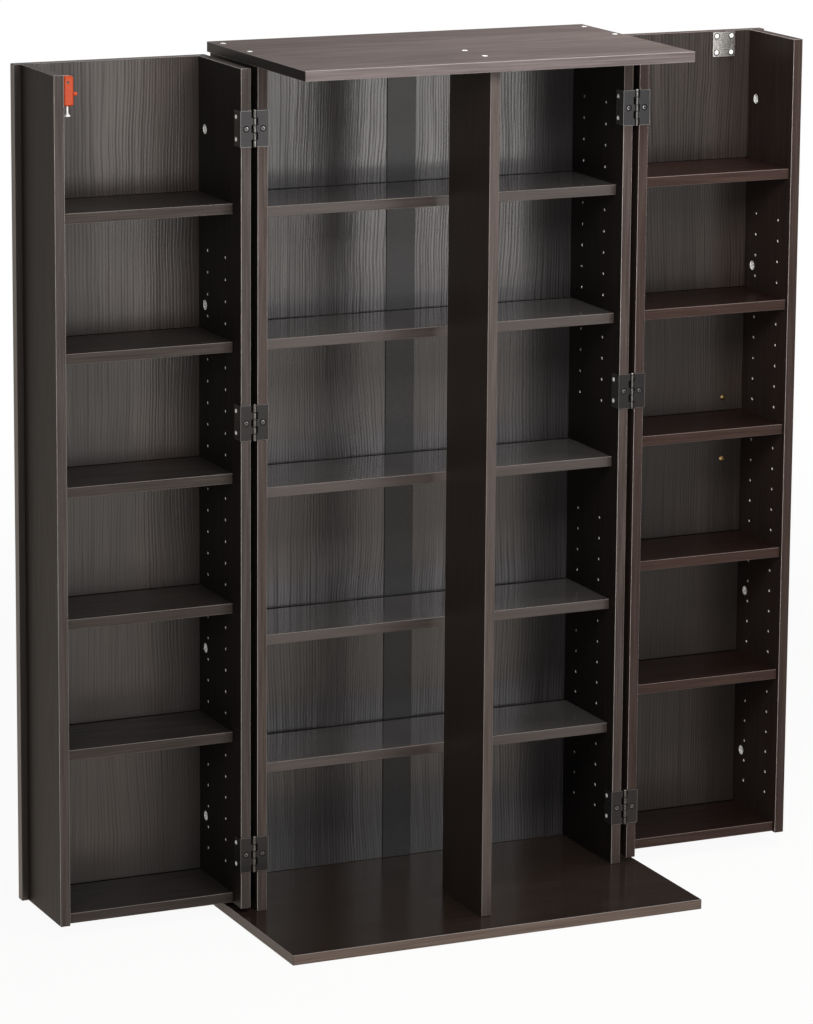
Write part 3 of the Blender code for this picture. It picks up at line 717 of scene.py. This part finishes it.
def add_screws(name, places, radius, rise, material, body):
    """places are (point, normal, spin)."""
    bm = bmesh.new()
    for place, normal, spin in places:
        screw_head_into(bm, facing(place, normal, spin), radius, rise)
    add_piece(name, bm, material, body)


def sink_shadow_into(bm, matrix, inner, outer):
    """A flat dark ring round a screw's head: painted shadow where its countersink opens."""
    profile = ((inner, -SEAT_DEPTH), (inner, FLUSH_SINK_SHADOW_RISE), (outer, FLUSH_SINK_SHADOW_RISE), (outer, -SEAT_DEPTH))
    rings = [ring_into(bm, matrix, radius, height, HEAD_SEGMENTS) for radius, height in profile]
    for first, second in zip(rings, rings[1:] + rings[:1]):
        bridge(bm, first, second)


def add_sink_shadows(name, places, radius, width, material, body):
    """radius is the screws', and width the dark rings' outer radius as a share of it."""
    bm = bmesh.new()
    for place, normal, spin in places:
        sink_shadow_into(bm, facing(place, normal, spin), radius * SINK_SHADOW_INNER, radius * width)
    add_piece(name, bm, material, body)


HINGE_SCREW_RADIUS = 0.0032
HINGE_SCREW_RISE = 0.0009
HINGE_SINK_SHADOW_WIDTH = 1.5
FLANGE_SCREW_SPREAD = 0.016
FLANGE_SCREW_INSET = 0.0065
FLANGE_SCREW_SPIN = 0.3
PLATE_SCREW_SPIN = 0.5
BOARD_THICKNESS = 0.015
# A leaf's thickness and the fine gap under it
LEAF_STAND = 0.0015


def hinge_screw_places(node, toward):
    """One screw in the middle of the plate on the board's edge, and two in the flange on its face."""
    low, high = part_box(node)
    middle_z = (low.z + high.z) / 2
    outer = high.x if toward > 0 else low.x
    plate_x = outer - toward * (LEAF_STAND + BOARD_THICKNESS / 2)
    plate_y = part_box("left_side")[0].y - LEAF_STAND
    flange = []
    for level in (-1, 1):
        place = (outer, high.y - FLANGE_SCREW_INSET, middle_z + level * FLANGE_SCREW_SPREAD)
        flange.append((place, (toward, 0, 0), FLANGE_SCREW_SPIN * level))
    return [((plate_x, plate_y, middle_z), (0, -1, 0), PLATE_SCREW_SPIN)], flange


def sides_of(body):
    return [side for side in SIDES if body in ("cabinet", side + "_door")]


def add_hinge_screws(bright, dark, shadow_ring):
    for body, leaf in (("cabinet", "cabinet_leaf"), ("left_door", "door_leaf"), ("right_door", "door_leaf")):
        plates = []
        flanges = []
        for side in sides_of(body):
            toward = -SIGN[side] if body == "cabinet" else SIGN[side]
            for level in LEVELS:
                plate, flange = hinge_screw_places("%s_%s_hinge_%s" % (side, level, leaf), toward)
                plates += plate
                flanges += flange
        add_sink_shadows(body + "_hinge_sink_shadows", plates, HINGE_SCREW_RADIUS, HINGE_SINK_SHADOW_WIDTH, shadow_ring, body)
        add_screws(body + "_hinge_plate_screws", plates, HINGE_SCREW_RADIUS, FLUSH_SCREW_RISE, dark, body)
        add_screws(body + "_hinge_flange_screws", flanges, HINGE_SCREW_RADIUS, HINGE_SCREW_RISE, bright, body)


KNUCKLES = 5
KNUCKLE_RADIUS = 0.00280
KNUCKLE_GAP = 0.0006
KNUCKLE_BEVEL = 0.0005
KNUCKLE_SEGMENTS = 24


def knuckle_into(bm, centre, bottom, top):
    waist = KNUCKLE_RADIUS - KNUCKLE_BEVEL
    profile = (
        (waist, bottom),
        (KNUCKLE_RADIUS, bottom + KNUCKLE_BEVEL),
        (KNUCKLE_RADIUS, top - KNUCKLE_BEVEL),
        (waist, top),
    )
    axis = Matrix.Translation((centre.x, centre.y, 0))
    close_barrel(bm, [ring_into(bm, axis, radius, z, KNUCKLE_SEGMENTS) for radius, z in profile])


def add_knuckles():
    """Smooth, worn barrels over the solids' knuckles, three for a cabinet leaf and two for a door leaf."""
    metal = worked_metal("knuckle_nickel")
    for body, first in (("cabinet", 0), ("left_door", 1), ("right_door", 1)):
        bm = bmesh.new()
        for side in sides_of(body):
            for level in LEVELS:
                pin_low, pin_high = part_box("%s_%s_hinge_pin" % (side, level))
                low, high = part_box("%s_%s_hinge_cabinet_leaf" % (side, level))
                pitch = (high.z - low.z) / KNUCKLES
                for number in range(first, KNUCKLES, 2):
                    bottom = low.z + pitch * number + KNUCKLE_GAP / 2
                    knuckle_into(bm, (pin_low + pin_high) / 2, bottom, bottom + pitch - KNUCKLE_GAP)
        add_piece(body + "_hinge_knuckles", bm, metal, body)


TOP_SCREW_RADIUS = 0.0042
TOP_SCREW_RISE = 0.0008
TOP_SCREW_PLACES = (
    (-0.2898, 0.0604),
    (-0.2898, 0.1607),
    (0.2898, 0.0604),
    (0.2898, 0.1607),
    (0.0, -0.0381),
    (0.0, -0.1044),
)


def add_top_screws(material):
    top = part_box("top_panel")[1].z
    places = [((x, y, top), (0, 0, 1), x + y) for x, y in TOP_SCREW_PLACES]
    add_screws("top_screws", places, TOP_SCREW_RADIUS, TOP_SCREW_RISE, material, "cabinet")


CAM_RADIUS = 0.0069
CAM_SPACING = 0.256
CAM_COUNT = 5
CAM_INSET = 0.024
CAM_SINK = 0.0006
CAM_THICKNESS = 0.010
# How far a cam's slot, its face and its bevelled rim lie below its highest level
CAM_SLOT_DEPTH = 0.0022
CAM_DISH = 0.0002
CAM_RIM_DROP = 0.0005
# Shares of a cam's radius: its rings, the slot's half width, and its reach
CAM_RINGS = (0.16, 0.34, 0.62, 0.90, 1.0)
CAM_SLOT_HALF_WIDTH = 0.16
CAM_SLOT_REACH = 0.8
CAM_SEGMENTS = 28
CAM_FIRST_SPIN = 0.4
CAM_SPIN_STEP = 1.3


def cam_into(bm, matrix):
    """A cam's disc with a cross slot, seen in its recess."""
    rings = []
    centre = bm.verts.new(matrix @ Vector((0, 0, -CAM_SLOT_DEPTH)))
    for share in CAM_RINGS:
        flat = CAM_RIM_DROP if share == CAM_RINGS[-1] else CAM_DISH
        ring = []
        for x, y in circle(CAM_RADIUS * share, CAM_SEGMENTS):
            in_arm = min(abs(x), abs(y)) < CAM_RADIUS * CAM_SLOT_HALF_WIDTH
            drop = CAM_SLOT_DEPTH if in_arm and share < CAM_SLOT_REACH else flat
            ring.append(bm.verts.new(matrix @ Vector((x, y, -drop))))
        rings.append(ring)
    depth = matrix.to_3x3() @ Vector((0, 0, CAM_THICKNESS))
    rings.append([bm.verts.new(vert.co - depth) for vert in rings[-1]])
    close_dish(bm, centre, rings)


def add_cams(material):
    for side in SIDES:
        low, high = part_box(side + "_door_panel")
        middle = (low.z + high.z) / 2
        for part, toward in (("hinge_wall", SIGN[side]), ("free_wall", -SIGN[side])):
            wall_low, wall_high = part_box(side + "_door_" + part)
            face_x = wall_high.x if toward > 0 else wall_low.x
            bm = bmesh.new()
            for index in range(CAM_COUNT):
                z = middle + CAM_SPACING * (index - (CAM_COUNT - 1) / 2)
                place = (face_x - toward * CAM_SINK, low.y - CAM_INSET, z)
                cam_into(bm, facing(place, (toward, 0, 0), CAM_FIRST_SPIN + index * CAM_SPIN_STEP))
            add_piece("%s_door_%s_cams" % (side, part), bm, material, side + "_door")


HANDLE_INSET = 0.0326
HANDLE_CENTRES = 0.096
HANDLE_SCREW_RADIUS = 0.0046
HANDLE_SCREW_RISE = 0.0022
HANDLE_SCREW_SPIN = 0.4


def add_handle_screws():
    brass = worked_metal("brass")
    for side in SIDES:
        low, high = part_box(side + "_door_panel")
        free_low, free_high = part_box(side + "_door_free_wall")
        inner = free_low.x if side == "right" else free_high.x
        x = inner - SIGN[side] * HANDLE_INSET
        middle = (low.z + high.z) / 2
        places = []
        for level in (-1, 1):
            place = (x, low.y, middle + level * HANDLE_CENTRES / 2)
            places.append((place, (0, -1, 0), HANDLE_SCREW_SPIN * level))
        name = side + "_door_handle_screws"
        add_screws(name, places, HANDLE_SCREW_RADIUS, HANDLE_SCREW_RISE, brass, side + "_door")


# Lock plate: rows of small pyramids between four corner screws

PLATE_STUD = 0.0026
PLATE_STUD_RISE = 0.0009
PLATE_STUD_REACH = 0.46
PLATE_BORDER = 0.002
LOCK_SCREW_INSET = 0.0065
LOCK_SCREW_RADIUS = 0.0036
LOCK_SCREW_RISE = 0.0014
LOCK_SCREW_SPIN = 0.5
LOCK_SINK_SHADOW_WIDTH = 1.35
# Half the square that the studs leave free round a screw, as a share of its radius
LOCK_SCREW_CLEAR = 1.2


def stud_into(bm, x, face, z):
    reach = PLATE_STUD * PLATE_STUD_REACH
    tip = bm.verts.new((x, face - PLATE_STUD_RISE, z))
    corners = ((-reach, 0), (0, reach), (reach, 0), (0, -reach))
    feet = [bm.verts.new((x + dx, face + SEAT_DEPTH, z + dz)) for dx, dz in corners]
    for index in range(len(feet)):
        bm.faces.new((tip, feet[index], feet[(index + 1) % len(feet)]))
    bm.faces.new(feet)


def add_lock_plate_detail(material, bright, shadow_ring):
    low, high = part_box("lock_case")
    centre_x = (low.x + high.x) / 2
    centre_z = (low.z + high.z) / 2
    half = (high.x - low.x) / 2
    reach = half - LOCK_SCREW_INSET
    clear = LOCK_SCREW_RADIUS * LOCK_SCREW_CLEAR
    count = int((half - PLATE_BORDER) * 2 / PLATE_STUD)
    steps = [(number - (count - 1) / 2) * PLATE_STUD for number in range(count)]
    bm = bmesh.new()
    for z in steps:
        for x in steps:
            at_screw = abs(abs(x) - reach) < clear and abs(abs(z) - reach) < clear
            if not at_screw:
                stud_into(bm, centre_x + x, low.y, centre_z + z)
    add_piece("lock_plate_studs", bm, material, "right_door", smooth=False)
    places = []
    for across in (-1, 1):
        for up in (-1, 1):
            place = (centre_x + across * reach, low.y, centre_z + up * reach)
            places.append((place, (0, -1, 0), across * LOCK_SCREW_SPIN))
    add_sink_shadows("lock_plate_sink_shadows", places, LOCK_SCREW_RADIUS, LOCK_SINK_SHADOW_WIDTH, shadow_ring, "right_door")
    add_screws("lock_plate_screws", places, LOCK_SCREW_RADIUS, LOCK_SCREW_RISE, bright, "right_door")


LATCH_SCREW_RADIUS = 0.0019
LATCH_SCREW_RISE = 0.0005
LATCH_SCREW_DROP = 0.0085
LATCH_SCREW_ACROSS = 0.4
LATCH_SCREW_SPIN = 0.6
FOOT_RADIUS = 0.0046
FOOT_HEIGHT = 0.0034
FOOT_SEGMENTS = 32
# Shares of the foot's radius and height, from its underside up
FOOT_PROFILE = ((0.85, 0.0), (1.0, 0.12), (1.0, 0.30), (0.74, 0.52), (0.52, 0.78), (0.44, 1.0))


def add_latch_detail(bright, dark):
    """The body's small screw, and the flared foot at the end of the bolt's tail."""
    low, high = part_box("latch_body")
    x = low.x + (high.x - low.x) * LATCH_SCREW_ACROSS
    places = [((x, low.y, high.z - LATCH_SCREW_DROP), (0, -1, 0), LATCH_SCREW_SPIN)]
    add_screws("latch_screw", places, LATCH_SCREW_RADIUS, LATCH_SCREW_RISE, dark, "left_door")
    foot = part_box("latch_bolt")[0].z
    middle = Matrix.Translation(((low.x + high.x) / 2, (low.y + high.y) / 2, foot))
    bm = bmesh.new()
    rings = []
    for share, height in FOOT_PROFILE:
        rings.append(ring_into(bm, middle, FOOT_RADIUS * share, FOOT_HEIGHT * height, FOOT_SEGMENTS))
    close_barrel(bm, rings)
    add_piece("latch_bolt_foot", bm, bright, "latch_bolt")


# Floor, world and lamps

FLOOR_HALF = 30.0
FLOOR_COLOUR = rgb(0.76, 0.71, 0.66)
WHITE = rgb(1.0, 1.0, 1.0)
GLOSS_TINT = rgb(1.0, 0.88, 0.78)
# The camera sees the floor a little less than white near the object, and white far off
FLOOR_NEAR = 1.2
FLOOR_FAR = 4.0
FLOOR_NEAR_WHITE = 0.94
FLOOR_THROUGH = 0.60
# Reflections see the floor brightest at the left in front, weakest at the right, and even behind the object.
# Left and right are measured across the direction in which the photograph's camera sees the floor mirrored.
# A glow of more than 1 counts as 1.
MIRROR_SLANT = 0.54
LEFT_GLOW = 1.30
MIDDLE_GLOW = 0.76
RIGHT_GLOW_SHARE = 0.30
BEHIND_GLOW = 0.80
LEFT_ENDS = (-0.45, -0.28)
RIGHT_STARTS = (0.28, 0.50)
BEHIND_STARTS = (0.3, 0.8)
WORLD_LIGHT = 0.12
WORLD_GLOSS = 0.40


def floor_glow(graph, position):
    east, north, _ = graph.split(position)
    aside = graph.math("MULTIPLY_ADD", north, MIRROR_SLANT, east)
    left = graph.ramp(aside, *LEFT_ENDS, LEFT_GLOW, MIDDLE_GLOW)
    right = graph.ramp(aside, *RIGHT_STARTS, 1.0, RIGHT_GLOW_SHARE)
    behind = graph.ramp(north, *BEHIND_STARTS, 0.0, BEHIND_GLOW)
    return graph.math("MAXIMUM", graph.math("MULTIPLY", left, right), behind)


def floor_material():
    graph = material_graph("studio_floor")
    diffuse = graph.add("ShaderNodeBsdfDiffuse")
    graph.feed(diffuse.inputs["Color"], FLOOR_COLOUR)
    glow = graph.add("ShaderNodeEmission")
    ray = graph.add("ShaderNodeLightPath").outputs
    graph.feed(glow.inputs["Color"], graph.mix(ray["Is Glossy Ray"], WHITE, GLOSS_TINT))
    position = graph.add("ShaderNodeTexCoord").outputs["Object"]
    away = graph.vector("LENGTH", position, output="Value")
    white = graph.ramp(away, FLOOR_NEAR, FLOOR_FAR, FLOOR_NEAR_WHITE, 1.0)
    seen = graph.math("MULTIPLY", ray["Is Camera Ray"], white)
    gloss = graph.math("MULTIPLY", ray["Is Glossy Ray"], floor_glow(graph, position))
    through = graph.math("MULTIPLY", ray["Is Transmission Ray"], FLOOR_THROUGH)
    amount = graph.math("ADD", seen, graph.math("ADD", gloss, through))
    blend = graph.add("ShaderNodeMixShader")
    for socket, value in zip(blend.inputs, (amount, diffuse.outputs[0], glow.outputs[0])):
        graph.feed(socket, value)
    output = graph.add("ShaderNodeOutputMaterial")
    graph.feed(output.inputs[0], blend.outputs[0])
    return graph.owner


def add_floor():
    bm = bmesh.new()
    bmesh.ops.create_grid(bm, x_segments=2, y_segments=2, size=FLOOR_HALF)
    mesh = bpy.data.meshes.new("floor")
    bm.to_mesh(mesh)
    bm.free()
    mesh.materials.append(floor_material())
    floor = bpy.data.objects.new("floor", mesh)
    bpy.context.scene.collection.objects.link(floor)


def add_world():
    """White to the camera, a weaker white in reflections, and a faint even light on the object."""
    graph = Graph(bpy.data.worlds.new("studio"))
    ray = graph.add("ShaderNodeLightPath").outputs
    seen = graph.math("MAXIMUM", ray["Is Camera Ray"], ray["Is Transmission Ray"])
    gloss = graph.math("MULTIPLY_ADD", ray["Is Glossy Ray"], WORLD_GLOSS - WORLD_LIGHT, WORLD_LIGHT)
    background = graph.add("ShaderNodeBackground")
    graph.feed(background.inputs["Color"], WHITE)
    graph.feed(background.inputs["Strength"], graph.math("MAXIMUM", seen, gloss))
    output = graph.add("ShaderNodeOutputWorld")
    graph.feed(output.inputs[0], background.outputs[0])
    bpy.context.scene.world = graph.owner


# size is the lamp's width and height in metres, power its watts, spread its opening in degrees.
# A lamp that isn't mirrored doesn't show in reflections.
Lamp = namedtuple("Lamp", "name place aim size power spread mirrored", defaults=(180.0, True))

LAMPS = (
    Lamp(
        name="key",
        place=(-0.05, -1.4, 1.95),
        aim=(-0.05, 0.0, 1.15),
        size=(1.2, 0.6),
        power=16.5,
        spread=125.0,
        mirrored=False,
    ),
    Lamp(
        name="right_softbox",
        place=(1.49, -3.3, 0.97),
        aim=(0.0, 0.2, 0.97),
        size=(0.98, 1.4),
        power=12.0,
    ),
    Lamp(
        name="front_fill",
        place=(-0.2, -3.6, 0.45),
        aim=(0.1, 0.0, 0.45),
        size=(1.2, 0.8),
        power=20.0,
    ),
    Lamp(
        name="left_softbox",
        place=(-2.4, -1.9, 1.5),
        aim=(0.0, 0.0, 0.8),
        size=(0.8, 1.4),
        power=19.0,
    ),
    Lamp(
        name="overhead",
        place=(0.75, -0.10, 2.4),
        aim=(0.35, 0.0, 1.3),
        size=(0.8, 0.6),
        power=22.0,
        mirrored=False,
    ),
)


def add_lamp(lamp):
    data = bpy.data.lights.new(lamp.name, "AREA")
    data.shape = "RECTANGLE"
    data.size, data.size_y = lamp.size
    data.energy = lamp.power
    data.spread = math.radians(lamp.spread)
    made = bpy.data.objects.new(lamp.name, data)
    made.location = lamp.place
    direction = Vector(lamp.aim) - Vector(lamp.place)
    made.rotation_euler = direction.to_track_quat("-Z", "Y").to_euler()
    made.visible_camera = False
    made.visible_glossy = lamp.mirrored
    bpy.context.scene.collection.objects.link(made)


bpy.context.scene.view_settings.view_transform = "Standard"
add_camera()
dress_boards()
bright_zinc, black_screw, plate_steel = dress_hardware()
# Dark rings round screw heads: painted shadow of the countersinks.
sink_shadow = satin_plastic("screw_sink_shadow", SINK_SHADOW_BLACK, mottle=1.3, roughness=0.5, specular=0.2)
add_hinge_screws(bright_zinc, black_screw, sink_shadow)
add_knuckles()
add_top_screws(bright_zinc)
add_cams(bright_zinc)
add_handle_screws()
add_lock_plate_detail(plate_steel, bright_zinc, sink_shadow)
add_latch_detail(bright_zinc, black_screw)
add_floor()
add_world()
for studio_lamp in LAMPS:
    add_lamp(studio_lamp)
